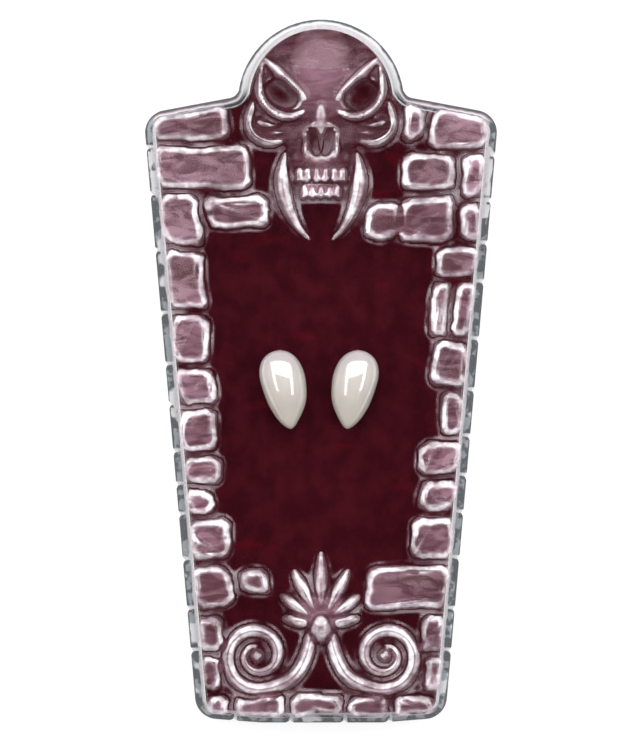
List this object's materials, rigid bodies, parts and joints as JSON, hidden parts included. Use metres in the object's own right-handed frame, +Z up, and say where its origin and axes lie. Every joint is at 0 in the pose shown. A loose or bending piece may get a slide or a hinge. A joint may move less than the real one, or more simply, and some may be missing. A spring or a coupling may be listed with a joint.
{
  "type": "pair of vampire fang caps in a coffin-shaped box",
  "caption": "Two hollow canine tooth caps on a velvet card, under the clear lid of a flat coffin-shaped box with raised stones, a skull and scrolls.",
  "frame": {"origin": "middle of the footprint, on the surface that the box lies on", "axes": "+Y towards the head of the coffin, +X to its right, +Z up out of the clear lid"},
  "size_m": [0.0702, 0.1404, 0.0271],
  "materials": {
    "clear_plastic": "clear, glossy",
    "velvet": "dark red flock",
    "acrylic": "tooth white, glossy"
  },
  "bodies": {
    "root": {"tray": "clear_plastic", "velvet_card": "velvet", "lid": "clear_plastic", "left_fang": "acrylic", "right_fang": "acrylic"}
  },
  "joints": []
}
